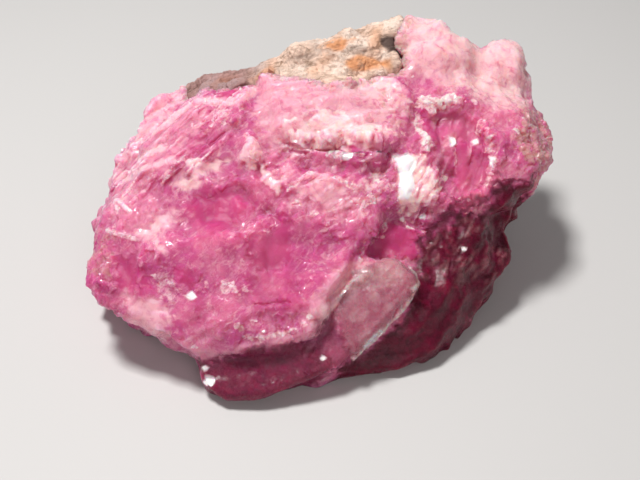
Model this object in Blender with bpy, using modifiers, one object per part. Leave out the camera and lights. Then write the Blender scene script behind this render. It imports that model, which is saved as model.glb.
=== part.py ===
"""Cobaltoan calcite: one broken mass of pink calcite crystals grown together, with a
patch of rusty matrix rock on its top and back.

Metres, +Z up. X runs along the specimen, its broad crystal faces look towards -Y and up,
and Z = 0 is the flat cleavage face that it rests on.
"""

import math
from collections import namedtuple

import bmesh
import bpy
import numpy as np
from mathutils import Euler, Matrix, Vector, noise

MM = 0.001

# --- driving dimensions ------------------------------------------------------------------
VOXEL = 0.36 * MM  # grain of the mesh in which the crystals grow into one solid
FINE_VOXEL = 0.30 * MM  # grain of the mesh after its surface is broken into steps
FACES = 9800  # triangles in the whole specimen before it is cut flat and parted
JOINT_GAP = 0.35 * MM  # between the matrix and the calcite that it sits in

# The broad front face leans back from level. Most crystals are placed in its frame: a runs
# along X, b up the slope and h out of the face. The others stand in the level frame.
FACE_LEAN = math.radians(34.0)
FACE = Matrix.Translation(Vector((0.0, -1.0, 11.5)) * MM) @ Matrix.Rotation(FACE_LEAN, 4, "X")
LEVEL = Matrix.Identity(4)

# A rounded crystal body: its frame, centre and size in mm, turn in degrees about its
# frame's axes, how square it is, from 2 (an ellipsoid) up, and its flat faces. Each face
# is (azimuth, elevation, reach): its direction in degrees and its distance from the centre.
Body = namedtuple("Body", "frame centre size turn squareness faces")

BODIES = {
    "core": Body(
        LEVEL, (1.0, 0.5, 5.2), (26.0, 19.0, 12.6), (8, 4, 6), 3.4, [(270, 56, 3.6), (310, 20, 9.5)],
    ),
    "back_base": Body(
        LEVEL, (-0.5, 5.4, 6.4), (29.0, 16.5, 18.0), (0, 0, -4), 3.6,
        [(270, 56, 5.0), (120, 20, 9.4), (60, 25, 9.2)],
    ),
    "front_dome": Body(
        FACE, (-5.0, -0.8, -6.4), (30.0, 27.0, 13.6), (0, 0, 0), 3.4,
        [(146, 22, 11.7), (182, 8, 13.8), (215, -4, 14.0), (240, -4, 11.5), (272, -12, 9.7),
         (328, 10, 9.2), (88, 40, 12.2), (18, 25, 12.0)],
    ),
    "left_back": Body(
        FACE, (-8.5, 3.5, -8.5), (20.0, 18.0, 11.0), (0, 0, 0), 3.6,
        [(146, 10, 8.8), (190, 0, 9.0), (146, 45, 8.7)],
    ),
    "right_mass": Body(
        FACE, (9.4, 4.6, -7.2), (21.4, 16.0, 12.6), (0, 5, 0), 3.6,
        [(22, 30, 9.7), (318, 5, 7.6), (272, 20, 6.6), (60, 50, 8.0)],
    ),
    "right_foot": Body(
        FACE, (11.2, -2.4, -9.8), (12.0, 13.0, 10.0), (0, 10, 0), 3.6,
        [(322, 0, 4.5), (10, 10, 5.2), (220, 10, 4.5)],
    ),
    "roof": Body(
        FACE, (2.5, 13.0, -7.2), (19.0, 8.6, 12.0), (-18, 0, 0), 3.8, [(111, 0, 2.1), (60, 20, 8.0)],
    ),
    "peak": Body(
        FACE, (8.0, 14.0, -6.6), (11.0, 9.0, 10.0), (-16, 4, 0), 3.4, [(111, 0, 3.9), (55, 15, 4.2)],
    ),
    "back_shoulder": Body(
        FACE, (13.6, 9.4, -8.4), (10.8, 10.2, 9.6), (-10, 8, 0), 3.2, [(60, 10, 5.8)],
    ),
    "knob": Body(FACE, (15.8, 13.7, -6.2), (4.4, 5.4, 5.2), (-20, 0, -10), 2.8, []),
}

# A flat crystal in the face frame: its outline in mm as (a, b) corners running
# anticlockwise, the h of its top, the top's slope along a and b, the h of its bottom, and
# how much wider it is there.
Plate = namedtuple("Plate", "outline top slope bottom flare")

PLATES = {
    "scalloped_rim": Plate(
        [(-3.0, -10.9), (-0.9, -10.5), (-0.1, -9.5), (0.1, -7.2), (1.6, -5.7), (2.9, -4.7), (3.2, -3.8),
         (5.0, -2.6), (4.8, -1.4), (0.0, 0.0), (-6.0, -5.0)],
        -0.5, (0.0, 0.0), -2.8, 0.0,
    ),
    "tongue": Plate(
        [(7.5, -6.4), (6.7, -5.1), (5.4, -4.3), (-8, -4), (-9.5, -11.4), (-9.0, -13.6), (-7.2, -15.0),
         (-4.7, -14.9), (-1.5, -13.8), (2.4, -11.8)],
        -1.6, (0.05, 0.05), -5.0, 0.3,
    ),
    "lower_right": Plate(
        [(8.9, -4.4), (2, -4), (0, -13.4), (6.2, -12.6), (9.2, -11.2), (10.8, -8.6), (11.1, -6.0)],
        -4.0, (0.0, 0.0), -9.0, 0.2,
    ),
    "sliver": Plate([(3, -12), (-4, -12), (-4.6, -14.7), (0.0, -14.1)], -4.2, (0.0, 0.0), -6.2, 0.0),
}

# Where the mass broke off behind: planes as (point in mm, azimuth, elevation), level frame.
BREAKS = [((0.0, 15.0, 14.0), 92, 7), ((0.0, 13.2, 5.0), 84, -24), ((17.5, 6.0, 5.0), 20, -30)]

# Growth ledges and hollows on the front: outlines in the face frame as for a plate, and how
# far the surface inside them stands out (or lies back) in mm.
Ledge = namedtuple("Ledge", "outline rise")

LEDGES = {
    "upper_plate": Ledge(
        [(-5, 10.5), (-4, 8.1), (-3.7, 5.2), (-1.5, 4.9), (1.5, 4.9), (5.9, 4.4), (7.1, 5.7), (7.7, 8.1),
         (7, 9.9), (2.5, 11.1)], 0.8,
    ),
    "under_plate": Ledge([(-2.5, 4.6), (6.1, 4.4), (4.9, 2.1), (-1.9, 2.6)], -0.5),
    "chip": Ledge([(-5.5, 5.4), (-4.2, 3.0), (-6.4, 3.0)], 0.8),
    "upper_left": Ledge(
        [(-14.5, 2.0), (-13.0, 6.5), (-9.5, 9.4), (-5.8, 9.2), (-6.5, 5.5), (-9.8, 2.0)], 0.5,
    ),
    "window": Ledge([(-9.7, 0.5), (-5.8, 1.1), (-3.6, -1), (-5.7, -2.9), (-8.9, -2)], -0.5),
    "low_window": Ledge([(-4.8, -3.4), (-1.2, -2), (1.7, -2.9), (0.7, -5.4), (-3.8, -5.9)], -0.45),
    "low_slab": Ledge(
        [(-14, -3.5), (-9.5, -2.6), (-5.7, -2.9), (-5, -3.9), (-5.4, -5.4), (-4.7, -8.7), (-6, -10.3),
         (-10, -10.4), (-14, -8)], 0.5,
    ),
    "blister": Ledge([(-14.7, -5.6), (-12.8, -5.0), (-10.9, -5.9), (-11, -8.7), (-13.6, -8.7)], -0.45),
    "striated_hollow": Ledge(
        [(8.2, 7.3), (10.9, 7.8), (13.1, 6.2), (13.6, 4.1), (13.1, 2.1), (11.6, 0), (9.7, 1.1), (9.1, 4.9)],
        -0.9,
    ),
    "frosted_lump": Ledge(
        [(6, 3.1), (8.1, 3.9), (9.7, 2.1), (9.7, 0.5), (8.4, -1.2), (6.7, -0.2), (5.8, 0.8)], 0.6,
    ),
    "crest": Ledge([(7.7, 7.6), (7.8, 9.2), (12.7, 9.6), (12.9, 8.2), (10.4, 7.7)], 0.6),
    "right_ridge": Ledge([(13.6, 1.4), (13.4, 4.1), (13.0, 6.4), (14.4, 6.6), (15.0, 4.0), (14.6, 1.6)], 0.6),
}
RIM_WIDTH = 0.35  # how far a ledge's step spreads sideways, mm
RIM_WAVER = 0.55  # how far its outline wanders, mm

# Layered growth edges along the upper left: steps down past a line in the face frame.
LAYER_LINE = ((-13.5, 1.5), (-7.0, 8.5))
LAYER_PITCH = 0.95
LAYER_DROP = 0.34
LAYERS = 4

# The calcite broke along its three cleavages, which lie 44.6 degrees from level about its
# axis. Each grain of the mass has an axis of its own.
CLEAVAGE_TILT = math.radians(44.6)
Fracture = namedtuple("Fracture", "grains seed step hold")  # step height in mm, its strength
FINE_BREAK = Fracture(46, 11, 0.95, 0.85)
BROAD_BREAK = Fracture(14, 5, 2.1, 0.9)  # on the sides and the back only
SIDE_LOSS = 0.3  # broken away evenly from the sides and the back, mm
SWELL = 0.34  # height of the broad unevenness, mm
GRIT = 0.16  # height of the fine unevenness, mm
ROCK_GRIT = 0.5  # the same on the matrix rock, mm

# The matrix rock lies in a bed on top and behind: its body, in the level frame.
BED = Body(LEVEL, (-2.6, 13.9, 15.2), (19.6, 13.4, 14.6), (-6, -9, -6), 2.8, [])
BED_WAVER = 1.6  # how far the sides of the bed wander, mm
BED_WAVE = 3.1  # over what distance, mm

COLOURS = {  # base colour (linear), roughness, metallic
    "calcite_crystals": ((0.62, 0.13, 0.30), 0.32, 0.0),
    "matrix_rock": ((0.30, 0.19, 0.11), 0.85, 0.0),
}


def clear_scene():
    """Empty the scene of every object."""
    for obj in list(bpy.data.objects):
        bpy.data.objects.remove(obj)


def collection(name):
    """A new collection in the scene."""
    made = bpy.data.collections.new(name)
    bpy.context.scene.collection.children.link(made)
    return made


def new_object(name, mesh, home):
    """An object in a collection, made from a bmesh, which is freed."""
    data = bpy.data.meshes.new(name)
    mesh.to_mesh(data)
    mesh.free()
    obj = bpy.data.objects.new(name, data)
    home.objects.link(obj)
    return obj


def apply_modifiers(obj):
    """Replace an object's mesh with the mesh that its modifiers give."""
    evaluated = obj.evaluated_get(bpy.context.evaluated_depsgraph_get())
    data = bpy.data.meshes.new_from_object(evaluated)
    obj.modifiers.clear()
    obj.data = data


def remeshed(obj, voxel):
    """Fuse an object's overlapping parts into one closed mesh of even grain."""
    remesh = obj.modifiers.new("fuse", "REMESH")
    remesh.mode = "VOXEL"
    remesh.voxel_size = voxel
    apply_modifiers(obj)


def boolean(obj, operation, cutter):
    """Cut or intersect an object with a cutter."""
    cut = obj.modifiers.new(operation.lower(), "BOOLEAN")
    cut.operation = operation
    cut.solver = "EXACT"
    cut.object = cutter
    apply_modifiers(obj)


def turned(degrees):
    """Rotation matrix for a turn given in degrees about X, Y and Z."""
    return Euler([math.radians(angle) for angle in degrees]).to_matrix().to_4x4()


def direction(azimuth, elevation):
    """Unit vector from an azimuth in the XY plane and an elevation above it, in degrees."""
    azimuth, elevation = math.radians(azimuth), math.radians(elevation)
    level = math.cos(elevation)
    return Vector((level * math.cos(azimuth), level * math.sin(azimuth), math.sin(elevation)))


def cut_off(mesh, point, normal):
    """Cut away what lies beyond a plane and close the cut."""
    cut = bmesh.ops.bisect_plane(
        mesh, geom=mesh.verts[:] + mesh.edges[:] + mesh.faces[:], dist=1e-7,
        plane_co=point, plane_no=normal, clear_outer=True,
    )
    rim = [g for g in cut["geom_cut"] if isinstance(g, bmesh.types.BMEdge)]
    if rim:
        bmesh.ops.contextual_create(mesh, geom=rim)


def body_mesh(body):
    """A rounded crystal body with its flat faces, as a bmesh."""
    mesh = bmesh.new()
    bmesh.ops.create_icosphere(mesh, subdivisions=4, radius=0.5)
    half = Vector(body.size) * MM
    power = body.squareness
    for vert in mesh.verts:
        spread = sum(abs(2 * c) ** power for c in vert.co) ** (1 / power)
        vert.co = Vector([c * s / spread for c, s in zip(vert.co, half)])
    mesh.transform(turned(body.turn))
    for azimuth, elevation, reach in body.faces:
        normal = direction(azimuth, elevation)
        cut_off(mesh, normal * reach * MM, normal)
    mesh.transform(body.frame @ Matrix.Translation(Vector(body.centre) * MM))
    return mesh


def plate_top(plate, a, b):
    """The h of a plate's top at (a, b), which it slopes about the middle of its outline."""
    middle_a, middle_b = np.mean(plate.outline, axis=0)
    return plate.top + plate.slope[0] * (a - middle_a) + plate.slope[1] * (b - middle_b)


def plate_mesh(plate):
    """A flat crystal: its outline extruded down from its top, as a bmesh."""
    mesh = bmesh.new()
    corners = [Vector((a, b, plate_top(plate, a, b))) * MM for a, b in plate.outline]
    top = mesh.faces.new([mesh.verts.new(corner) for corner in corners])
    middle = top.calc_center_median()
    made = bmesh.ops.extrude_face_region(mesh, geom=[top])["geom"]
    for vert in [g for g in made if isinstance(g, bmesh.types.BMVert)]:
        vert.co += (vert.co - middle).normalized() * plate.flare * MM
        vert.co.z = plate.bottom * MM
    mesh.transform(FACE)
    bmesh.ops.recalc_face_normals(mesh, faces=mesh.faces[:])
    return mesh


def grown_together(home):
    """All the crystals as one closed object, broken off behind."""
    whole = bmesh.new()
    for mesh in [body_mesh(b) for b in BODIES.values()] + [plate_mesh(p) for p in PLATES.values()]:
        piece = bpy.data.meshes.new("crystal")
        mesh.to_mesh(piece)
        mesh.free()
        whole.from_mesh(piece)
        bpy.data.meshes.remove(piece)
    obj = new_object("calcite_crystals", whole, home)
    remeshed(obj, VOXEL)
    mesh = bmesh.new()
    mesh.from_mesh(obj.data)
    for point, azimuth, elevation in BREAKS:
        cut_off(mesh, Vector(point) * MM, direction(azimuth, elevation))
    mesh.to_mesh(obj.data)
    mesh.free()
    remeshed(obj, VOXEL)
    return obj


# --- the surface: numpy fields over the vertices, in mm -----------------------------------

def field(points, size, seed):
    """Smooth noise from about -1 to 1 at each point, with features of a size in mm."""
    shift = Vector((seed * 17.3, seed * 7.7, seed * 3.1))
    return np.array([noise.noise(Vector(p) / size + shift) for p in points]) * 1.6


def smooth(value):
    """Ease from 0 to 1 as the value goes from 0 to 1."""
    value = np.clip(value, 0, 1)
    return value * value * (3 - 2 * value)


def inside(outline, a, b):
    """Distance of each point (a, b) from an outline, positive inside it."""
    distance = np.full(len(a), np.inf)
    odd = np.zeros(len(a), bool)
    for (a0, b0), (a1, b1) in zip(outline, outline[1:] + outline[:1]):
        da, db = a1 - a0, b1 - b0
        along = np.clip(((a - a0) * da + (b - b0) * db) / (da * da + db * db), 0, 1)
        distance = np.minimum(distance, np.hypot(a - a0 - along * da, b - b0 - along * db))
        if db:
            odd ^= ((b0 > b) != (b1 > b)) & (a < a0 + (b - b0) * da / db)
    return np.where(odd, distance, -distance)


def ledge_rise(points, local):
    """How far the ledges, hollows and layered edges lift each point off the face."""
    waver = field(points, 1.9, 1) * RIM_WAVER
    a, b = local[:, 0], local[:, 1]
    rise = np.zeros(len(points))
    for ledge in LEDGES.values():
        rise += ledge.rise * smooth((inside(ledge.outline, a, b) + waver) / RIM_WIDTH + 0.5)
    (a0, b0), (a1, b1) = LAYER_LINE
    length = math.hypot(a1 - a0, b1 - b0)
    past = ((b - b0) * (a1 - a0) - (a - a0) * (b1 - b0)) / length + waver * 0.6
    for layer in range(LAYERS):
        rise -= LAYER_DROP * smooth((past - layer * LAYER_PITCH) / RIM_WIDTH + 0.5)
    return rise


def cleavage_normals(fracture):
    """The centres of a fracture's grains in mm, and each grain's three cleavage normals."""
    rng = np.random.default_rng(fracture.seed)
    centres = rng.uniform((-19, -13, 0), (19, 15, 20), (fracture.grains, 3))
    normals = []
    for _ in range(fracture.grains):
        turn = Euler(rng.uniform(0, 2 * math.pi, 3)).to_matrix()
        normals.append([turn @ direction(120 * k, 90 - math.degrees(CLEAVAGE_TILT)) for k in range(3)])
    return centres, np.array(normals)


def cleavage_move(points, normals, fracture):
    """Moves that snap the surface to the steps of the cleavage that it lies nearest."""
    centres, cleavages = cleavage_normals(fracture)
    wander = np.stack([field(points, 3.0, seed) for seed in (5, 6, 7)], axis=1) * 1.2
    gaps = np.linalg.norm((points + wander)[:, None] - centres, axis=2)
    grain = np.argmin(gaps, axis=1)
    facing = np.einsum("nkc,nc->nk", cleavages[grain], normals)
    nearest = np.argmax(np.abs(facing), axis=1)
    rows = np.arange(len(points))
    cleavage = cleavages[grain, nearest] * np.sign(facing[rows, nearest])[:, None]
    level = np.einsum("nc,nc->n", points, cleavage) / fracture.step + field(points, 2.2, 8) * 0.35
    part = level - np.floor(level)
    move = (smooth((part - 0.5) * 3.2 + 0.5) - part) * fracture.step * fracture.hold
    lie = smooth((np.abs(facing[rows, nearest]) - 0.62) / 0.25)
    return cleavage * (move * lie)[:, None]


def quiet_zones(local):
    """1 on the smooth flat crystals low on the front, 0 elsewhere."""
    quiet = np.zeros(len(local))
    a, b, h = local.T
    for name in ("tongue", "lower_right"):
        plate = PLATES[name]
        level = smooth(1.6 - np.abs(h - plate_top(plate, a, b)) / 0.8)
        quiet = np.maximum(quiet, level * smooth(inside(plate.outline, a, b) + 1.0))
    return quiet


def in_bed(points):
    """Distance in mm of each point into the matrix rock's bed, about."""
    body = (BED.frame @ Matrix.Translation(Vector(BED.centre)) @ turned(BED.turn)).inverted()
    local = points @ np.array(body.to_3x3()).T + np.array(body.translation)
    reach = (np.abs(2 * local / np.array(BED.size)) ** BED.squareness).sum(axis=1) ** (1 / BED.squareness)
    return (1 - reach) * min(BED.size) / 2


def sculpt(obj):
    """Break the surface into ledges, cleavage steps, striations and grit."""
    mesh = obj.data
    count = len(mesh.vertices)
    points = np.empty(count * 3)
    mesh.vertices.foreach_get("co", points)
    points = points.reshape(count, 3) / MM
    normals = np.empty(count * 3)
    mesh.vertices.foreach_get("normal", normals)
    normals = normals.reshape(count, 3)
    into_face = np.array(FACE.inverted().to_3x3())
    local = (points - np.array(FACE.translation) / MM) @ into_face.T
    up = np.array(FACE.to_3x3())[:, 2]
    rough = 1 - quiet_zones(local)
    rock = smooth(in_bed(points) + 0.5)

    facing = smooth((normals @ up - 0.15) / 0.4)
    lift = ledge_rise(points, local) * facing * rough
    hollow = LEDGES["striated_hollow"].outline
    striated = smooth(inside(hollow, local[:, 0], local[:, 1]) + 0.6)
    lift += striated * facing * 0.18 * np.sin(local[:, 0] * 2 * math.pi / 1.15 + local[:, 1] * 0.5)
    moved = points + up * lift[:, None]
    broken = rough * (1 - rock)
    moved += cleavage_move(points, normals, FINE_BREAK) * (broken * (1 - 0.5 * facing))[:, None]
    moved += cleavage_move(points, normals, BROAD_BREAK) * (broken * (1 - facing))[:, None]
    moved -= normals * (SIDE_LOSS * broken * (1 - facing))[:, None]
    swell = field(points, 4.2, 2) * SWELL * (0.35 + 0.65 * rough)
    grit = field(points, 1.15, 3) * (GRIT * (0.25 + rough) + ROCK_GRIT * rock)
    moved += normals * (swell + grit)[:, None]
    mesh.vertices.foreach_set("co", (moved * MM).ravel())
    mesh.update()


def resting_cut(obj, tools):
    """Cut the specimen flat at Z = 0."""
    block = bmesh.new()
    bmesh.ops.create_cube(block, size=80 * MM, matrix=Matrix.Translation((0, 0, -40 * MM)))
    boolean(obj, "DIFFERENCE", new_object("ground_cut", block, tools))


def bed_cutter(name, shrink, tools):
    """The matrix rock's bed as a cutter, its sides uneven."""
    obj = new_object(name, body_mesh(BED), tools)
    for vert in obj.data.vertices:
        vert.co += vert.normal * noise.noise(vert.co / (BED_WAVE * MM)) * BED_WAVER * MM
    gap = obj.modifiers.new("gap", "DISPLACE")
    gap.strength = -shrink
    gap.mid_level = 0
    return obj


def part_matrix(calcite, tools, home):
    """Part the matrix rock from the calcite that it sits in."""
    rock = bpy.data.objects.new("matrix_rock", calcite.data.copy())
    home.objects.link(rock)
    boolean(rock, "INTERSECT", bed_cutter("bed_inner", JOINT_GAP, tools))
    boolean(calcite, "DIFFERENCE", bed_cutter("bed_outer", 0.0, tools))
    return rock


def centre(shown, cutters):
    """Move all the meshes so that the origin is below the middle of the shown ones."""
    corners = [vert.co for obj in shown for vert in obj.data.vertices]
    low = [min(c[axis] for c in corners) for axis in range(2)]
    high = [max(c[axis] for c in corners) for axis in range(2)]
    shift = Matrix.Translation((-(low[0] + high[0]) / 2, -(low[1] + high[1]) / 2, 0))
    for obj in (*shown, *cutters):
        obj.data.transform(shift)


def finish(obj):
    """Give an object its material and its shading."""
    colour, roughness, metallic = COLOURS[obj.name]
    material = bpy.data.materials.new(obj.name)
    material.use_nodes = True
    shader = material.node_tree.nodes["Principled BSDF"]
    shader.inputs["Base Color"].default_value = (*colour, 1)
    shader.inputs["Roughness"].default_value = roughness
    shader.inputs["Metallic"].default_value = metallic
    obj.data.materials.clear()
    obj.data.materials.append(material)
    obj.data.shade_smooth()
    obj.data.set_sharp_from_angle(angle=math.radians(24))


def main():
    """Grow the mass, break its surface, cut it flat, and part the matrix from it."""
    clear_scene()
    home = collection("cobaltoan_calcite")
    tools = collection("cutters")
    calcite = grown_together(home)
    sculpt(calcite)
    remeshed(calcite, FINE_VOXEL)
    calcite.data.calc_loop_triangles()
    thin = calcite.modifiers.new("thin", "DECIMATE")
    thin.ratio = FACES / len(calcite.data.loop_triangles)
    apply_modifiers(calcite)
    resting_cut(calcite, tools)
    rock = part_matrix(calcite, tools, home)
    for cutter in tools.objects:
        cutter.hide_render = True
        cutter.display_type = "WIRE"
    centre([calcite, rock], tools.objects)
    for obj in (calcite, rock):
        finish(obj)


main()
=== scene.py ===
import math
from collections import namedtuple
from types import SimpleNamespace

import bpy
import numpy as np
from mathutils import Euler, Matrix, Vector, noise
from mathutils.kdtree import KDTree


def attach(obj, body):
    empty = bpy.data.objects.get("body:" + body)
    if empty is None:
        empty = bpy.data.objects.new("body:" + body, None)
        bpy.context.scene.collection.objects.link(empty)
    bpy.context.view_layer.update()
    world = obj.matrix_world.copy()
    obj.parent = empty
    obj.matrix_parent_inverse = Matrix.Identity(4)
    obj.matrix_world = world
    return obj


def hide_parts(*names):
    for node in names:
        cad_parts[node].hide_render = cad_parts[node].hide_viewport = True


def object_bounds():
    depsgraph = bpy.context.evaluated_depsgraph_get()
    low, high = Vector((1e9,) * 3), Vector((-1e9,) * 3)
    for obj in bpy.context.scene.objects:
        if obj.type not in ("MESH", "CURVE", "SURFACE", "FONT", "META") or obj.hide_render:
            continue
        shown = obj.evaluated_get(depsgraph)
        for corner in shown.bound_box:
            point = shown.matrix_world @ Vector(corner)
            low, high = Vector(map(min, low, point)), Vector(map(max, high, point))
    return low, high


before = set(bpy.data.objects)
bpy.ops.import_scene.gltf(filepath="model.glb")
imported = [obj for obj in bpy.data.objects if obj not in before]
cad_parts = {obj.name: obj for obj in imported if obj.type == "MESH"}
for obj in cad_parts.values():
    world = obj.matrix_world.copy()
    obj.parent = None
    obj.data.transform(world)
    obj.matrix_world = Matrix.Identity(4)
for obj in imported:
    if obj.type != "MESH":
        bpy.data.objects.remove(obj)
cad_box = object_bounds()

MM = 0.001

# --- places ---
# The broad front face leans back from level. a runs along X, b up the slope and h out of the
# face, in mm from its middle.
FACE_LEAN = math.radians(34.0)
FACE = Matrix.Translation((-0.12, -2.99, 11.5)) @ Matrix.Rotation(FACE_LEAN, 4, "X")

FRONT = np.array((0.22, -0.76, 0.61))  # the way that the specimen's good side looks
FRONT_FROM = -0.15  # the cosine to that way at which the front face's features begin
FRONT_FADE = 0.35
BACK_FADE = 0.5

# --- camera, at the photograph's viewing angle ---
CAMERA_TARGET = Vector((-0.12, -3.99, 8.3)) * MM
CAMERA_ELEVATION = math.radians(42.0)
CAMERA_DISTANCE = 70 * MM
CAMERA_LENS = 50.0  # mm, on a sensor 36 mm wide
CAMERA_BACK = Vector((0, -math.cos(CAMERA_ELEVATION), math.sin(CAMERA_ELEVATION)))
CAMERA_NEAREST = 1 * MM  # nothing nearer than this shows

# --- light ---
# Each lamp's place in mm, its square's width in mm, its power in W and its colour.
KEY_LIGHT = ((-50, 15, 200), 36, 0.47, (1.0, 0.985, 0.965))
FILL_LIGHT = ((30, -170, 110), 150, 0.11, (1.0, 0.96, 0.95))
SKY = (1.0, 0.96, 0.96)
SKY_STRENGTH = 0.18

FLOOR_WIDTH = 1200 * MM
FLOOR_ROUGHNESS = 0.6

# --- fineness of the surface ---
CALCITE_GRAIN = 0.135 * MM
ROCK_GRAIN = 0.13 * MM
CALCITE_TRIANGLES = 190000
CALCITE_SOFTENING = 0.50 * MM  # how far smoothing takes the CAD's facets away
ROCK_SOFTENING = 2.1 * MM
WELD = 0.01 * MM  # vertices nearer than this are made one
SHARP_FROM = 34  # degrees between two triangles that are shaded apart

# --- how the calcite breaks ---
# Chips of a size in mm lie along their grain's nearest cleavage, at levels a step apart. hold
# says how flat they come, and most is the furthest that a point moves, in mm.
CLEAVAGE_TILT = math.radians(44.6)  # from a grain's axis to the normal of each cleavage
GRAIN_SIZE = 4.5  # mm
GRAIN_SEED = 5
AREA_OF_BOX = 3.4  # a piece's area, roughly, beside its box's volume to the power 2/3
FLAKE_HEADING = math.radians(42)  # from the face's a axis, the way that the flakes run
FLAKE_STRETCH = 3.0  # how much longer they are than wide
ROCK_HEADING = math.radians(16)  # the same for the rock's streaks
Chips = namedtuple("Chips", "size step hold most seed")
CHIPS = [
    Chips(2.6, 0.45, 0.25, 0.30, 11),
    Chips(1.1, 0.22, 0.48, 0.16, 12),
    Chips(0.45, 0.11, 0.60, 0.09, 13),
]

CRUMBS = Chips(0.30, 0.11, 0.8, 0.09, 14)
CHIP_WANDER = 0.35  # how far a chip's borders wander, beside its size
LEVEL_SPREAD = 0.3  # how far a chip's level strays, beside its step
STEEPEST = 0.5  # the least cosine between a chip and the surface that is reckoned with
ROCK_CHIPS = [(CHIPS[1], 0.4), (CHIPS[2], 0.7)]  # with how much of each the rock has

# Waves: their size and height in mm, and their seed. WAVER and BEND move the borders of what
# lies on the surface, and the others swell it.
WAVER = [(0.45, 0.30, 32), (0.2, 0.15, 33)]
BEND_A = [(1.6, 0.55, 34), (0.6, 0.35, 35)]
BEND_B = [(1.6, 0.55, 36), (0.6, 0.35, 37)]
CALCITE_SWELLS = [(4.0, 0.12, 47), (0.9, 0.035, 48)]
ROCK_SWELLS = [(0.9, 0.05, 61), (0.4, 0.05, 62), (0.2, 0.05, 63)]
ROCK_WAVER = [(0.9, 0.3, 64)]

RESTING = 0.6  # mm above the resting face, over which the relief grows from nothing
CRUST_REACH = 1.5  # mm that the stained crust runs from the rock over the calcite
CRUST = 0.8
ROCK_RISE = 0.12  # mm that the rock swells everywhere
JOINT_RISE = 0.35  # mm more that it swells beside the calcite
JOINT_REACH = 1.1  # mm from the calcite, over which that extra swelling ends
JOINT_FADE = 0.7

# How rough each tone's relief is, beside that of the plain calcite.
PLAIN_RELIEF = 0.52
LEAST_RELIEF = 0.45  # of the plain, where that is smoothest
RELIEF_SPAN = 1.1  # more, where it is roughest
BACK_RELIEF = 0.8
RELIEF = {
    "deep": 0.12, "pale": 0.20, "milk": 0.15, "frost": 0.85, "dusk": 0.12, "cream": 1.0, "grey": 0.06,
}

# Patches of the front face: a tone and its strength, how softly it fades and how far it
# stands out, in mm, and its outline in the face's frame. deep is clear pink, pale is clouded
# pink, milk is smooth white crystal, frost is white crumbled crystal, dusk is dark clear
# crystal with painted shade, cream is a stained crust and grey is a colourless cloud.
Patch = namedtuple("Patch", "tone strength fade rise outline")

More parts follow.
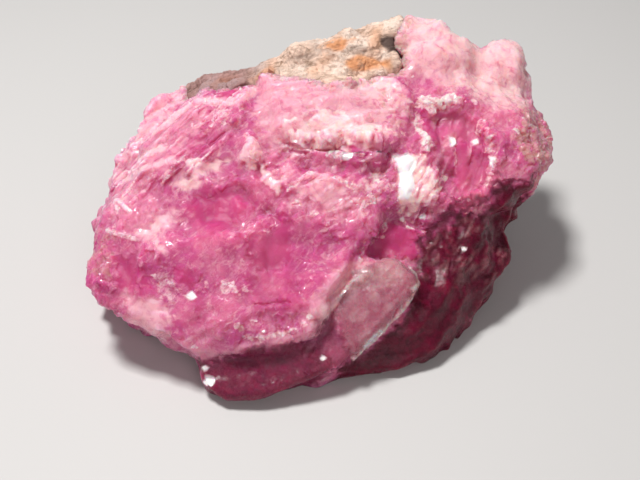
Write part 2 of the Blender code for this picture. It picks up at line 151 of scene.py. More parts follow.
PATCHES = {
    "dome_window": Patch("deep", 0.62, 1.8, 0, [
        (-9.7, 0.1), (-8.5, 1.2), (-5.8, 1.3), (-4.8, 0.0), (-5.7, -1.5), (-7.1, -2.6), (-8.7, -3.7),
        (-9.7, -2.0)]),
    "dome_heart": Patch("deep", 1.0, 1.2, 0, [
        (-9.0, 0.2), (-7.2, 1.3), (-6.4, 0.4), (-7.6, -0.9), (-8.8, -0.9)]),
    "broken_window": Patch("deep", 0.6, 1.0, -0.04, [
        (-5.6, -2.8), (-4.3, -2.5), (-2.4, -1.7), (-2.1, -3.2), (-2.3, -4.9), (-3.8, -5.6), (-5.0, -5.0)]),
    "low_window": Patch("deep", 0.75, 1.2, 0, [(-10.9, -5.3), (-9.3, -5.7), (-9.5, -7.0), (-10.4, -6.6)]),
    "rim_window": Patch("deep", 0.7, 0.9, 0, [(-9.7, -8.4), (-8.8, -8.5), (-9.0, -9.8), (-9.6, -9.4)]),
    "left_window": Patch("deep", 0.5, 0.9, 0, [(-14.8, 1.3), (-12.9, 1.3), (-13.0, 0.4), (-14.4, 0.2)]),
    "edge_window": Patch("deep", 0.85, 1.1, 0, [
        (-15.5, -4.3), (-13.8, -4.2), (-13.6, -6.2), (-13.9, -7.8), (-15.0, -7.4)]),
    "crest_window": Patch("deep", 0.8, 0.5, 0, [
        (-8.7, 10.1), (-7.9, 10.8), (-6.3, 9.7), (-6.4, 8.5), (-8.0, 8.8)]),
    "left_band": Patch("deep", 0.55, 0.8, 0, [
        (-14.7, 1.9), (-13.2, 3.7), (-11.5, 5.1), (-9.3, 5.9), (-8.8, 5.2), (-10.1, 3.4), (-12.0, 1.9),
        (-13.3, 1.2)]),
    "under_plate": Patch("deep", 0.15, 0.6, 0.9, [
        (-2.0, 4.6), (0.0, 4.7), (4.9, 4.9), (5.5, 3.9), (3.2, 2.6), (1.0, 2.6), (-1.5, 3.4)]),
    "recess": Patch("deep", 0.9, 0.9, 0.15, [
        (5.0, -0.9), (6.0, -0.8), (6.5, -1.8), (8.2, -2.3), (7.4, -3.3), (6.2, -4.1), (4.4, -3.9),
        (3.1, -4.1), (3.5, -3.1), (5.1, -2.4)]),
    "strip": Patch("dusk", 0.8, 0.6, 0, [
        (7.9, -1.8), (10.9, 0.7), (13.3, 1.0), (13.8, 2.4), (14.4, 2.3), (13.3, 0.5), (10.9, -0.9),
        (8.7, -2.6)]),
    "hollow": Patch("deep", 0.5, 0.5, 0.35, [
        (7.8, 7.9), (11.0, 7.9), (13.3, 7.3), (13.7, 4.5), (13.6, 2.4), (12.3, 0.5), (10.9, 0.7),
        (10.5, 2.7), (8.9, 3.9), (8.5, 6.0)]),
    "front_low": Patch("deep", 0.35, 1.5, 0, [(-5.6, -6.1), (-0.9, -5.4), (-0.9, -8.3), (-4.7, -9.0)]),
    "pitted": Patch("dusk", 1.0, 0.8, 0, [
        (8.2, -2.3), (10.9, -0.7), (13.2, -0.6), (16.7, 0.9), (18.5, -2.0), (16.5, -7.0), (12.5, -9.0),
        (11.2, -7.5), (10.8, -5.8), (8.1, -5.3), (7.2, -4.3)]),
    "flank": Patch("dusk", 1.0, 0.7, 0, [
        (14.3, 1.9), (20.0, 3.0), (20.0, -3.0), (16.0, -1.5), (13.0, -0.8), (13.3, 0.5)]),
    "low_right": Patch("dusk", 1.0, 0.5, 0, [
        (7.2, -4.9), (9.8, -4.8), (12.2, -6.0), (12.4, -10.0), (9.0, -15.0), (0.0, -15.0), (1.4, -12.5),
        (3.2, -11.6), (6.5, -9.0)]),
    "foot": Patch("dusk", 0.85, 0.5, 0, [
        (-11.5, -12.0), (-7.5, -12.1), (-3.7, -11.4), (-0.5, -10.8), (1.4, -12.2), (-2.4, -15.5),
        (-11.0, -17.0)]),
    "tongue_low": Patch("dusk", 0.6, 0.8, 0, [
        (-0.6, -9.6), (0.6, -8.2), (1.8, -10.0), (3.2, -11.2), (1.8, -12.8), (0.2, -12.6), (-0.8, -11.2)]),
    "tongue": Patch("grey", 0.85, 0.35, 0.30, [
        (2.0, -5.9), (3.4, -5.0), (5.7, -4.1), (6.9, -4.7), (7.5, -6.1), (6.9, -7.3), (5.8, -8.7),
        (4.0, -10.5), (2.6, -11.7), (1.7, -10.8), (1.2, -8.9), (1.3, -7.2)]),
    "upper_plate": Patch("pale", 0.85, 0.8, 0, [
        (-5.0, 10.0), (0.0, 11.0), (4.1, 10.9), (6.2, 9.4), (7.2, 8.2), (5.9, 5.3), (2.4, 5.4),
        (-0.5, 4.8), (-3.9, 4.5), (-5.1, 6.1)]),
    "peak": Patch("pale", 1.0, 1.5, 0, [
        (5.8, 19.0), (22.0, 18.5), (21.0, 12.0), (14.3, 10.1), (10.2, 10.0), (6.1, 11.3)]),
    "sheets": Patch("pale", 0.55, 1.4, 0, [
        (-20.0, -0.5), (-15.5, 0.5), (-11.0, 2.8), (-9.0, 6.0), (-8.2, 9.0), (-9.0, 12.0), (-16.0, 12.0),
        (-20.0, 6.0)]),
    "left_border": Patch("milk", 0.55, 1.2, 0, [
        (-20.0, 3.0), (-17.0, 3.5), (-14.5, 7.0), (-11.5, 10.0), (-9.5, 11.5), (-10.0, 14.0),
        (-16.0, 12.0), (-20.0, 7.0)]),
    "left_mid": Patch("pale", 0.30, 1.6, 0, [
        (-18.0, 3.0), (-12.5, 0.7), (-12.4, -1.1), (-14.3, -2.5), (-17.1, -2.1)]),
    "mid_right": Patch("pale", 0.12, 1.4, 0, [
        (-1.4, 1.9), (2.4, 2.0), (4.8, 0.6), (4.9, -0.7), (2.4, -2.0), (-1.0, -1.6), (-2.4, -0.1)]),
    "peak_top": Patch("milk", 0.42, 2.4, 0, [
        (5.8, 19.0), (22.0, 18.5), (21.0, 13.0), (14.3, 12.0), (7.0, 13.0)]),
    "right_rim": Patch("cream", 0.75, 1.2, 0, [
        (16.4, 9.5), (19.5, 9.8), (20.5, 5.0), (18.5, 2.9), (16.5, 3.4), (15.5, 4.8), (16.1, 6.8)]),
    "left_edge": Patch("cream", 0.6, 0.7, 0, [
        (-19.0, -1.0), (-15.9, -1.8), (-15.6, -4.3), (-15.7, -6.3), (-16.6, -6.2), (-19.0, -4.6)]),
    "left_low": Patch("dusk", 0.35, 0.4, 0, [(-17.5, -6.2), (-15.0, -6.9), (-14.3, -7.5), (-16.1, -8.2)]),
    "blotch": Patch("cream", 0.5, 0.5, 0.05, [
        (-5.4, 4.5), (-4.6, 3.8), (-4.8, 2.9), (-5.8, 3.0), (-5.9, 3.8)]),
    "plate_end": Patch("cream", 0.45, 0.9, 0.05, [
        (4.3, 9.8), (6.6, 9.0), (7.4, 7.4), (6.8, 4.6), (5.2, 4.4), (5.0, 6.6)]),
    "fleck": Patch("cream", 0.7, 0.3, 0, [(-6.3, -9.8), (-5.8, -9.5), (-5.5, -9.9), (-6.0, -10.3)]),
    "rim_low": Patch("milk", 0.7, 0.6, 0, [
        (-14.7, -7.4), (-12.8, -7.4), (-11.0, -8.6), (-11.5, -10.6), (-12.8, -10.4), (-14.8, -9.0)]),
    "rim_front": Patch("frost", 0.15, 0.4, 0, [
        (-4.7, -10.4), (-2.3, -9.9), (-0.9, -8.8), (-0.2, -9.0), (-0.6, -10.4), (-2.3, -10.9)]),
    "cap": Patch("frost", 0.9, 0.4, 0.09, [
        (7.4, 8.0), (8.2, 9.1), (9.4, 8.8), (10.2, 9.3), (11.7, 8.9), (11.0, 8.4), (9.8, 8.1),
        (9.0, 7.6)]),
    # gloss: the milk here is partly white crystal, partly a painted highlight
    "gloss": Patch("milk", 0.95, 0.4, 0, [
        (5.9, 3.8), (7.1, 3.9), (8.1, 3.6), (8.9, 2.4), (9.1, 1.2), (8.6, 0.2), (7.5, -0.7), (6.4, -0.2),
        (6.0, 0.5)]),
    "ridge": Patch("frost", 0.8, 0.3, 0.12, [
        (7.3, 7.7), (7.9, 7.9), (8.6, 5.4), (8.3, 3.8), (7.7, 3.9), (8.0, 5.3)]),
    "hollow_rim": Patch("frost", 0.7, 0.5, 0.08, [
        (13.0, 1.4), (13.9, 2.0), (14.0, 4.5), (13.2, 7.3), (12.7, 7.0), (13.3, 4.0)]),
    "hollow_fleck": Patch("frost", 0.7, 0.3, 0.08, [
        (10.0, 5.6), (10.7, 5.3), (10.9, 3.4), (11.0, 2.6), (10.4, 3.2), (10.2, 4.6)]),
    "chip": Patch("milk", 0.95, 0.4, 0.12, [
        (-6.5, 3.4), (-5.4, 5.1), (-4.4, 3.4), (-5.2, 2.3), (-6.0, 2.7)]),
    "plate_top": Patch("milk", 0.4, 1.4, 0, [
        (-1.5, 10.9), (4.5, 10.8), (6.3, 9.2), (6.6, 7.6), (4.0, 8.3), (0.5, 9.2)]),
    "plate_pink": Patch("deep", 0.35, 1.2, 0, [
        (-4.6, 8.0), (-1.8, 8.4), (-0.8, 6.4), (-3.4, 5.4), (-4.8, 6.2)]),
    "cream_band": Patch("milk", 0.95, 1.1, 0.06, [
        (-2.7, 4.5), (-2.1, 6.2), (-0.6, 7.0), (1.4, 7.0), (2.6, 6.4), (4.7, 6.1), (5.4, 5.3), (2.4, 5.0),
        (0.5, 4.6), (-1.5, 3.9)]),
    "lens": Patch("pale", 0.4, 0.3, 0.05, [(2.2, 4.8), (3.6, 5.0), (5.1, 4.9), (4.9, 4.4), (3.2, 4.3)]),
    "shoulder": Patch("milk", 0.6, 1.2, 0, [
        (11.5, 11.5), (15.4, 12.0), (18.5, 10.5), (16.9, 8.3), (14.8, 8.2), (11.5, 9.9)]),
    "tongue_haze": Patch("milk", 0.35, 1.2, 0, [
        (3.0, -5.4), (5.7, -4.3), (6.9, -4.9), (7.3, -6.1), (5.8, -6.9), (3.8, -7.6)]),
    "plate_stain": Patch("cream", 0.35, 0.9, 0, [
        (-2.0, 5.0), (-0.8, 7.0), (1.4, 6.8), (2.2, 5.6), (0.5, 4.8)]),
    "crest_edge": Patch("milk", 0.7, 0.5, 0, [
        (-5.0, 10.8), (0.0, 12.0), (6.0, 10.6), (6.4, 9.4), (0.0, 10.7), (-4.9, 9.6)]),
    "middle_plate": Patch("milk", 0.5, 0.8, 0.05, [
        (-1.4, 1.3), (-0.4, 1.9), (1.4, 1.5), (2.2, 0.3), (1.3, -0.7), (-0.3, -0.4), (-2.0, 0.2)]),
    "right_crumbs": Patch("frost", 0.5, 0.6, 0.05, [
        (2.4, -0.5), (3.4, 1.5), (5.9, 2.9), (5.9, 1.2), (4.6, 0.0), (3.4, -1.0)]),
    "lens_crumbs": Patch("frost", 0.9, 0.4, 0.1, [
        (0.3, 4.3), (2.4, 4.2), (3.6, 3.6), (1.8, 2.9), (0.5, 3.1)]),
    "left_veil": Patch("milk", 0.85, 1.3, 0, [
        (-12.4, -0.8), (-11.5, -0.1), (-10.9, -1.3), (-11.4, -2.6), (-12.0, -4.1), (-13.2, -3.8),
        (-13.6, -2.7)]),
    "dome_veil": Patch("milk", 1.0, 1.1, 0, [
        (-11.3, 1.8), (-9.3, 2.8), (-7.9, 3.7), (-7.2, 3.1), (-8.9, 1.6), (-10.4, 0.7)]),
    "sliver": Patch("milk", 0.8, 0.25, 0.12, [
        (-4.7, 2.8), (-3.8, 2.2), (-2.8, 0.7), (-3.2, 0.3), (-4.3, 1.6)]),
    "low_crumbs": Patch("frost", 0.6, 0.4, 0, [
        (-13.0, -5.9), (-11.0, -5.9), (-10.5, -7.1), (-10.7, -8.0), (-11.8, -7.5), (-12.5, -6.8)]),
    "front_flake": Patch("frost", 0.75, 0.3, 0.1, [
        (-7.7, -6.0), (-6.5, -6.5), (-5.6, -8.2), (-6.4, -7.5), (-7.5, -7.1)]),
    "crest_crumbs": Patch("frost", 0.65, 0.6, 0, [
        (-9.0, 8.1), (-6.9, 8.5), (-5.9, 7.3), (-7.3, 6.0), (-9.0, 6.2)]),
    "edge_crumbs": Patch("frost", 0.5, 0.5, 0, [(-15.5, 0.2), (-13.0, 2.4), (-12.4, 1.8), (-15.0, -0.6)]),
}
TONES = ("deep", "pale", "milk", "frost", "dusk", "cream", "grey")

# Tones in scattered patches: a strength, the patches' size in mm, how sharply they end, how
# much of the surface they take and their seed.
Mottle = namedtuple("Mottle", "strength size sharpness share seed")

# Those of the calcite are on every side but the front and the low right.
CALCITE_MOTTLES = {
    "deep": Mottle(0.8, 5.0, 1.0, 0.3, 41),
    "frost": Mottle(0.8, 3.0, 1.5, -0.5, 42),
    "pale": Mottle(0.6, 6.0, 1.0, 0.2, 43),
    "cream": Mottle(0.7, 4.0, 1.6, -0.9, 44),
}
ROCK_MOTTLES = {
    "rust": Mottle(0.6, 2.2, 1.6, -0.55, 65),
    "dark": Mottle(0.25, 1.5, 1.8, -0.9, 66),
    "cream": Mottle(1.0, 2.0, 1.5, 0.2, 67),
}

# Dark crystal darkened further with painted shade fills the side under a plane that rises to
# the right: its strength, the plane's slope and height in mm, and how softly it begins.
LOW_RIGHT_DUSK_SHADE = 0.8
LOW_RIGHT_SLOPE = 0.7
LOW_RIGHT_HEIGHT = 8
LOW_RIGHT_FADE = 5

# Edges and cracks of the front face: a tone and its strength, a width and a rise in mm, and
# the route in the face's frame.
Edge = namedtuple("Edge", "tone strength width rise route")

EDGES = {
    "window_edge": Edge("frost", 0.55, 0.16, 0.06, [
        (-5.8, -6.1), (-5.1, -4.9), (-5.7, -2.8), (-4.3, -2.5), (-2.6, -1.6)]),
    "crack": Edge("deep", 0.8, 0.10, -0.05, [(-4.8, -8.2), (-3.7, -8.1), (-2.3, -8.0)]),
    # tongue_edge: partly white crystal, partly a painted highlight along the rim
    "tongue_edge": Edge("milk", 1.0, 0.24, 0.18, [
        (7.0, -4.9), (7.5, -6.1), (6.9, -7.3), (5.8, -8.7), (4.0, -10.5), (2.6, -11.7)]),
    # this edge and the one two below: partly pale crystal, partly painted light on a slope in shade
    "tongue_back": Edge("pale", 0.75, 0.9, 0.3, [
        (-0.6, -9.6), (0.0, -8.4), (0.7, -7.4), (1.9, -6.0), (3.3, -5.2)]),
    "tongue_pale_and_painted_light": Edge("milk", 0.75, 0.5, 0.15, [(0.1, -8.6), (1.3, -7.2), (2.5, -6.2), (3.8, -5.6)]),
    "crest_line": Edge("milk", 0.85, 0.45, 0.06, [
        (-9.6, 8.3), (-8.2, 8.2), (-6.8, 7.9), (-5.9, 8.6), (-5.3, 9.4)]),
    "sheet_low": Edge("milk", 0.8, 0.4, 0.06, [(-16.4, 2.5), (-13.6, 2.5), (-11.4, 3.0)]),
    "sheet_middle": Edge("milk", 0.9, 0.45, 0.08, [(-18.0, 3.9), (-15.0, 3.6), (-12.4, 4.2)]),
    "sheet_top": Edge("milk", 0.8, 0.35, 0.08, [(-15.6, 5.4), (-13.8, 5.7), (-12.0, 6.6), (-10.4, 8.0)]),
    "left_streak": Edge("milk", 1.0, 0.2, 0.12, [(-15.8, 0.2), (-14.7, -0.8)]),
    "left_flake": Edge("frost", 0.9, 0.25, 0.1, [(-16.4, -2.2), (-15.2, -2.7), (-13.9, -3.1)]),
    "front_rim": Edge("pale", 0.6, 0.4, 0.06, [
        (-11.5, -10.8), (-9.4, -11.5), (-7.8, -11.7), (-5.6, -11.4), (-3.7, -11.0), (-0.9, -10.4),
        (-0.4, -9.5), (-0.5, -8.0)]),
    "rim_inner": Edge("frost", 0.6, 0.22, 0.06, [(-5.6, -10.6), (-3.7, -10.5), (-1.4, -9.9), (-0.8, -8.8)]),
    "scallop": Edge("frost", 0.7, 0.2, 0.06, [(5.2, -1.3), (4.9, -2.3), (3.5, -3.2), (3.0, -4.5)]),
    "right_crystal": Edge("frost", 0.55, 0.16, 0.06, [
        (10.8, -6.1), (11.2, -7.0), (11.0, -8.0), (10.7, -9.1)]),
    "flank_line": Edge("dusk", 0.7, 0.09, -0.05, [(13.9, 1.9), (15.4, 2.2), (18.5, 2.2)]),
    "gloss_edge": Edge("frost", 0.6, 0.22, 0.08, [
        (5.9, 0.3), (6.7, -1.2), (7.9, -2.0), (9.4, -0.9), (10.9, 0.7)]),
    "crevice": Edge("deep", 1.0, 0.2, -0.08, [
        (-2.7, 4.0), (-1.0, 3.8), (1.0, 4.4), (2.6, 4.7), (4.9, 4.6), (5.4, 3.9)]),
    "foot_low": Edge("frost", 0.5, 0.25, 0.05, [(-3.8, -14.0), (-0.9, -13.0), (1.4, -12.3)]),
    "pit_arc": Edge("frost", 0.4, 0.12, 0.05, [(8.1, -3.3), (9.0, -2.9), (9.9, -3.3), (10.2, -4.6)]),
    "ring": Edge("frost", 0.7, 0.15, 0.08, [(-5.2, -9.3), (-4.4, -9.5), (-4.2, -10.1), (-4.7, -10.4)]),
    "band_edge": Edge("frost", 0.8, 0.45, 0.08, [(-2.7, 4.4), (-1.5, 4.3), (0.5, 4.9), (2.0, 5.2)]),
    "middle_ledge": Edge("frost", 0.6, 0.35, 0.1, [
        (-4.6, 2.9), (-2.9, 1.9), (-2.4, 0.6), (-1.0, 1.9), (1.0, 1.8), (2.4, 1.0), (4.9, 2.3)]),
}

# Stretches drawn out along one direction: its heading in degrees from the a axis, the width
# and length of its lines and their height in mm, how white their crests are, how clear and
# pink the furrows between them are, and the outline.
Streaks = namedtuple("Streaks", "heading width length height frost deep outline")

STREAKS = {
    "left_sheets": Streaks(44, 0.22, 1.9, 0.10, 1.0, 0.7, [
        (-20.0, -0.5), (-15.5, -0.5), (-12.0, 0.8), (-9.5, 1.6), (-7.2, 4.6), (-6.2, 7.5), (-5.5, 11.5),
        (-16.0, 12.0), (-20.0, 6.0)]),
    "middle_slivers": Streaks(36, 0.38, 1.1, 0.12, 0.75, 0.6, [
        (-5.6, 2.8), (-4.0, 4.2), (5.4, 3.8), (6.2, 0.0), (2.8, -1.8), (-2.6, -0.6), (-4.8, 1.0)]),
    "hollow_lines": Streaks(68, 0.26, 2.4, 0.09, 0.45, 0.4, [
        (7.8, 7.9), (13.3, 7.3), (13.6, 2.4), (12.3, 0.5), (9.6, 1.8), (8.5, 5.0)]),
    "gloss_ripples": Streaks(62, 0.24, 1.0, 0.20, 0.6, 0.7, [
        (7.0, 3.9), (8.4, 3.4), (9.6, 2.6), (9.8, 0.6), (8.2, -1.0), (6.8, -0.6), (7.4, 1.6)]),
    "plate_lines": Streaks(12, 0.40, 4.0, 0.10, 0.3, 0.2, [
        (-5.0, 10.4), (4.0, 11.2), (7.2, 8.4), (5.9, 5.3), (-3.9, 4.5), (-5.1, 6.1)]),
    "front_lines": Streaks(6, 0.30, 5.0, 0.06, 0.1, 0.25, [
        (-6.0, -6.0), (-0.9, -5.4), (-0.6, -9.0), (-5.5, -9.6)]),
    "pits": Streaks(55, 0.32, 0.8, 0.10, 0.22, 0.2, [
        (8.1, -3.0), (10.9, -0.9), (13.5, -0.9), (15.5, -2.5), (14.0, -6.0), (10.8, -6.0), (8.1, -5.8)]),
    "peak_sheets": Streaks(-28, 0.55, 5.0, 0.10, 0.3, 0.25, [
        (6.2, 14.0), (12.0, 14.5), (18.6, 12.0), (15.0, 9.6), (9.0, 9.6), (6.6, 11.0)]),
}

# Small crystal faces turned so that they throw the key light into the camera, and given a painted
# white highlight: the furthest that the surface moves to become one, in mm, and the outline in the face's
# frame.
GLINTS = {
    "dome": (0.30, [(-10.0, -7.5), (-9.6, -7.25), (-9.2, -7.6), (-9.6, -8.0)]),
    "seam": (0.20, [(-0.05, -11.9), (0.2, -11.75), (0.4, -12.0), (0.1, -12.25)]),
    "foot": (0.40, [(-8.75, -13.1), (-7.95, -13.45), (-8.3, -14.1), (-9.0, -13.7)]),
    "foot_top": (0.30, [(-9.05, -12.5), (-8.7, -12.25), (-8.55, -12.6), (-8.9, -12.85)]),
    "hollow_left": (0.15, [(10.3, 5.7), (10.8, 5.6), (10.9, 5.0), (10.4, 4.8)]),
    "hollow_right": (0.15, [(12.1, 5.4), (12.6, 5.6), (12.7, 5.2), (12.3, 5.1)]),
    "hollow_rim": (0.12, [(13.4, 3.9), (13.7, 3.8), (13.7, 2.9), (13.4, 3.1)]),
    "below_gloss": (0.12, [(7.8, -0.8), (8.2, -0.5), (8.5, -0.7), (8.1, -1.0)]),
    "under_plate": (0.15, [(1.7, 3.6), (2.6, 3.7), (2.5, 3.2), (1.8, 3.1)]),
    "pits": (0.10, [(11.1, -3.1), (11.5, -3.1), (11.6, -3.4), (11.2, -3.4)]),
    "tongue": (0.10, [(3.3, -11.0), (4.6, -9.7), (4.75, -9.9), (3.45, -11.15)]),
    "gloss": (0.17, [
        (5.8, 3.8), (7.0, 4.0), (7.6, 3.2), (7.2, 2.2), (7.5, 1.3), (6.9, 0.2), (6.1, 0.4), (6.2, 2.0)]),
}

# Patches of rust on the matrix, as outlines in the face's frame.
ROCK_RUST = [
    [(1.8, 12.4), (3.7, 12.7), (5.9, 12.6), (5.9, 11.9), (3.3, 11.4), (2.0, 11.7)],
    [(0.0, 13.4), (1.6, 14.2), (2.8, 14.1), (1.7, 13.2), (0.5, 12.9)],
]

# Pits and crevices of the matrix, darkened with painted shade: how far they sink in mm, and for
# each one how dark it is and its outline in the face's frame.
ROCK_SINK = 0.14
ROCK_PIT_SHADE = [
    (1.0, [(4.8, 14.6), (6.8, 14.8), (7.4, 13.5), (6.8, 12.8), (5.6, 13.1)]),
    (0.6, [(-2.8, 12.3), (-0.9, 12.5), (0.8, 12.7), (-0.9, 12.2), (-2.7, 12.1)]),
    (0.6, [(2.4, 12.7), (5.0, 13.6), (5.2, 13.4), (2.6, 12.5)]),
]

# --- colours ---
PINK = (0.57, 0.085, 0.25)
PALE_PINK = (0.70, 0.19, 0.32)
DEEP = (0.55, 0.048, 0.18)
# dusk: dark clear crystal, darkened further with painted shade
DUSK_SHADE = (0.09, 0.004, 0.018)
DUSK_SHADE_PALE = (0.19, 0.006, 0.035)
PALE = (0.85, 0.46, 0.51)
FROST = (1.0, 0.84, 0.81)
# painted white highlight on the glinting faces
PAINTED_GLINT = (1.0, 0.90, 0.93)
MILK = (0.99, 0.71, 0.67)
CREAM = (0.59, 0.33, 0.27)
GREY = (0.63, 0.25, 0.30)
GREY_CLEAR = (0.48, 0.11, 0.18)
CRINKLE = (0.60, 0.09, 0.17)
LEFT_TINT = (0.93, 0.84, 0.95)
RIGHT_TINT = (0.98, 0.98, 0.99)
SPECK = (0.25, 0.06, 0.05)
EARTH = (0.34, 0.21, 0.14)
TAN = (0.95, 0.69, 0.56)
ROCK_CREAM = (0.92, 0.76, 0.66)
RUST = (0.80, 0.36, 0.17)
DARK_SPOTS_AND_PIT_SHADE = (0.10, 0.06, 0.05)
ROCK_LEFT = (0.46, 0.35, 0.42)
FLOOR = (0.56, 0.555, 0.55)

# --- how light goes through the calcite, and off it ---
SCATTER = (1.0, 0.28, 0.48)  # how far red, green and blue light spread, beside each other
SCATTER_DEPTH = 2.0 * MM
CALCITE_IOR = 1.6
CALCITE_SPECULAR = 0.12
COAT_ROUGHNESS = 0.10
PINK_SPAN = (-14 * MM, 12 * MM)  # along X, from the left tint to the right one
ROCK_SPAN = (-7 * MM, -3 * MM)  # along X, from the darker rock to the paler


# --- numpy fields over a mesh's vertices, in mm ---

def field(points, size, seed):
    """Smooth noise from about -1 to 1 at each point, with features of a size in mm."""
    scaled = points / size + np.array((seed * 17.3, seed * 7.7, seed * 3.1))
    return np.array([noise.noise(p) for p in scaled.tolist()]) * 1.6


def smooth(value):
    """Ease from 0 to 1 as the value goes from 0 to 1."""
    value = np.clip(value, 0, 1)
    return value * value * (3 - 2 * value)


def waves(points, shapes):
    """The sum of several waves, each with its size and height in mm, and its seed."""
    return sum(field(points, size, seed) * height for size, height, seed in shapes)


def to_route(route, a, b):
    """Distance of each point (a, b) from a route's nearest stretch."""
    distance = np.full(len(a), np.inf)
    for (a0, b0), (a1, b1) in zip(route, route[1:]):
        da, db = a1 - a0, b1 - b0
        along = np.clip(((a - a0) * da + (b - b0) * db) / (da * da + db * db), 0, 1)
        distance = np.minimum(distance, np.hypot(a - a0 - along * da, b - b0 - along * db))
    return distance


def inside(outline, a, b):
    """Distance of each point (a, b) from an outline, positive inside it."""
    odd = np.zeros(len(a), bool)
    for (a0, b0), (a1, b1) in zip(outline, outline[1:] + outline[:1]):
        if b1 != b0:
            odd ^= ((b0 > b) != (b1 > b)) & (a < a0 + (b - b0) * (a1 - a0) / (b1 - b0))
    distance = to_route(outline + outline[:1], a, b)
    return np.where(odd, distance, -distance)


def direction(azimuth, elevation):
    """Unit vector from an azimuth in the XY plane and an elevation above it, in degrees."""
    azimuth, elevation = math.radians(azimuth), math.radians(elevation)
    level = math.cos(elevation)
    return Vector((level * math.cos(azimuth), level * math.sin(azimuth), math.sin(elevation)))


def tree_of(places):
    """A search tree over points."""
    tree = KDTree(len(places))
    for index, place in enumerate(places.tolist()):
        tree.insert(place, index)
    tree.balance()
    return tree


def nearest(centres, points):
    """The index of the centre nearest each point."""
    tree = tree_of(centres)
    return np.array([tree.find(p)[1] for p in points.tolist()])


def wandered(points, size, reach, seed):
    """The points moved about by noise, so that what they are nearest to gets uneven borders."""
    return points + np.stack([field(points, size, seed + k) for k in range(3)], axis=1) * reach


def apart(points, node):
    """Each point's distance from a CAD node's vertices."""
    tree = tree_of(read(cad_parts[node].data)[0])
    return np.array([tree.find(p)[2] for p in points.tolist()])


def chip_heights(points, normals, chips):
    """Heights that break the surface into flat chips along the cleavages of its grains."""
    rng = np.random.default_rng(chips.seed)
    area = np.prod(np.ptp(points, axis=0)) ** (2 / 3) * AREA_OF_BOX
    some = rng.choice(len(points), int(area / chips.size ** 2), replace=False)
    few = np.random.default_rng(GRAIN_SEED).choice(len(points), int(area / GRAIN_SIZE ** 2))
    grains = points[few]
    turns = [Euler(turn).to_matrix() for turn in rng.uniform(0, 2 * math.pi, (len(grains), 3))]
    tilt = 90 - math.degrees(CLEAVAGE_TILT)
    cleavages = np.array([[turn @ direction(120 * k, tilt) for k in range(3)] for turn in turns])
    own = cleavages[nearest(grains, wandered(points[some], 2.0, 0.8, 21))]
    facing = np.einsum("nkc,nc->nk", own, normals[some])
    best = np.argmax(np.abs(facing), axis=1)
    rows = np.arange(len(some))
    lie = own[rows, best] * np.sign(facing[rows, best])[:, None]
    strays = rng.uniform(-LEVEL_SPREAD, LEVEL_SPREAD, len(some))
    level = np.einsum("nc,nc->n", points[some], lie) + strays * chips.step
    level = np.round(level / chips.step) * chips.step
    chip = nearest(points[some], wandered(points, chips.size, chips.size * CHIP_WANDER, 24))
    turned = np.clip(np.einsum("nc,nc->n", normals, lie[chip]), STEEPEST, 1)
    height = (level[chip] - np.einsum("nc,nc->n", points, lie[chip])) / turned
    return np.clip(height, -chips.most, chips.most) * chips.hold


# --- the front face's features ---

def face_frame(points):
    """The points' a, b and h in the frame of the broad front face."""
    return ((points - np.array(FACE.translation)) @ np.array(FACE.to_3x3())).T


def seen(normals):
    """1 where the surface looks to the front, and 0 where it looks to the back or down."""
    return smooth((normals @ FRONT - FRONT_FROM) / FRONT_FADE)


def raise_tone(tones, tone, strength):
    """Bring a tone up to a strength at each point, where it is weaker."""
    tones[tone] = np.maximum(tones[tone], strength)


def add_patches(points, front, waver, tones, rise):
    """Add the patches' tones and rise, with uneven borders."""
    a, b = face_frame(points)[:2]
    bent_a, bent_b = waves(points, BEND_A), waves(points, BEND_B)
    for patch in PATCHES.values():
        bent = min(1.0, patch.fade)
        reach = inside(patch.outline, a + bent_a * bent, b + bent_b * bent)
        shown = smooth((reach + waver * min(1.6, patch.fade * 1.6)) / patch.fade + 0.5) * front
        raise_tone(tones, patch.tone, shown * patch.strength)
        rise += smooth((reach + waver * 0.5) / max(0.25, patch.rise * 1.6) + 0.5) * front * patch.rise


def add_edges(points, front, waver, tones, rise):
    """Add the tones and rise of the edges, and the sink of the cracks."""
    a, b = face_frame(points)[:2]
    for edge in EDGES.values():
        away = to_route(edge.route, a + waver * 0.3, b - waver * 0.3)
        shown = smooth(1.3 - away / edge.width) * front
        raise_tone(tones, edge.tone, shown * edge.strength)
        rise += shown * edge.rise


def mottled(points, mottle):
    """Where a mottle shows, from 0 to 1."""
    return smooth(field(points, mottle.size, mottle.seed) * mottle.sharpness + mottle.share)


def add_hidden(points, front, tones):
    """Add the tones of every side but the front, with dark crystal and painted shade low on the right."""
    away = 1 - front
    under = points[:, 0] * LOW_RIGHT_SLOPE - points[:, 2] + LOW_RIGHT_HEIGHT
    low_right = smooth(under / LOW_RIGHT_FADE)
    raise_tone(tones, "dusk", away * low_right * LOW_RIGHT_DUSK_SHADE)
    away = away * (1 - low_right)
    for tone, mottle in CALCITE_MOTTLES.items():
        raise_tone(tones, tone, away * mottled(points, mottle) * mottle.strength)


def add_streaks(points, front, waver, tones, rise):
    """Add the streaks' white crests, their pink furrows and their rise."""
    a, b, h = face_frame(points)
    for seed, streaks in enumerate(STREAKS.values(), 51):
        shown = smooth(inside(streaks.outline, a, b) + waver + 0.5) * front
        crest = streak_lines(a, b, h, streaks, seed)
        rise += shown * crest * streaks.height
        raise_tone(tones, "frost", shown * smooth(crest * 1.8 - 0.3) * streaks.frost)
        raise_tone(tones, "milk", shown * smooth(crest * 1.4) * streaks.frost * 0.6)
        raise_tone(tones, "deep", shown * smooth(-crest * 1.6 - 0.2) * streaks.deep)


def features(points, normals):
    """Each tone's strength and the features' rise at each point."""
    front = seen(normals)
    waver = waves(points, WAVER)
    tones = {tone: np.zeros(len(points)) for tone in TONES}
    rise = np.zeros(len(points))
    add_patches(points, front, waver, tones, rise)
    add_edges(points, front, waver, tones, rise)
    add_hidden(points, front, tones)
    add_streaks(points, front, waver, tones, rise)
    return tones, rise


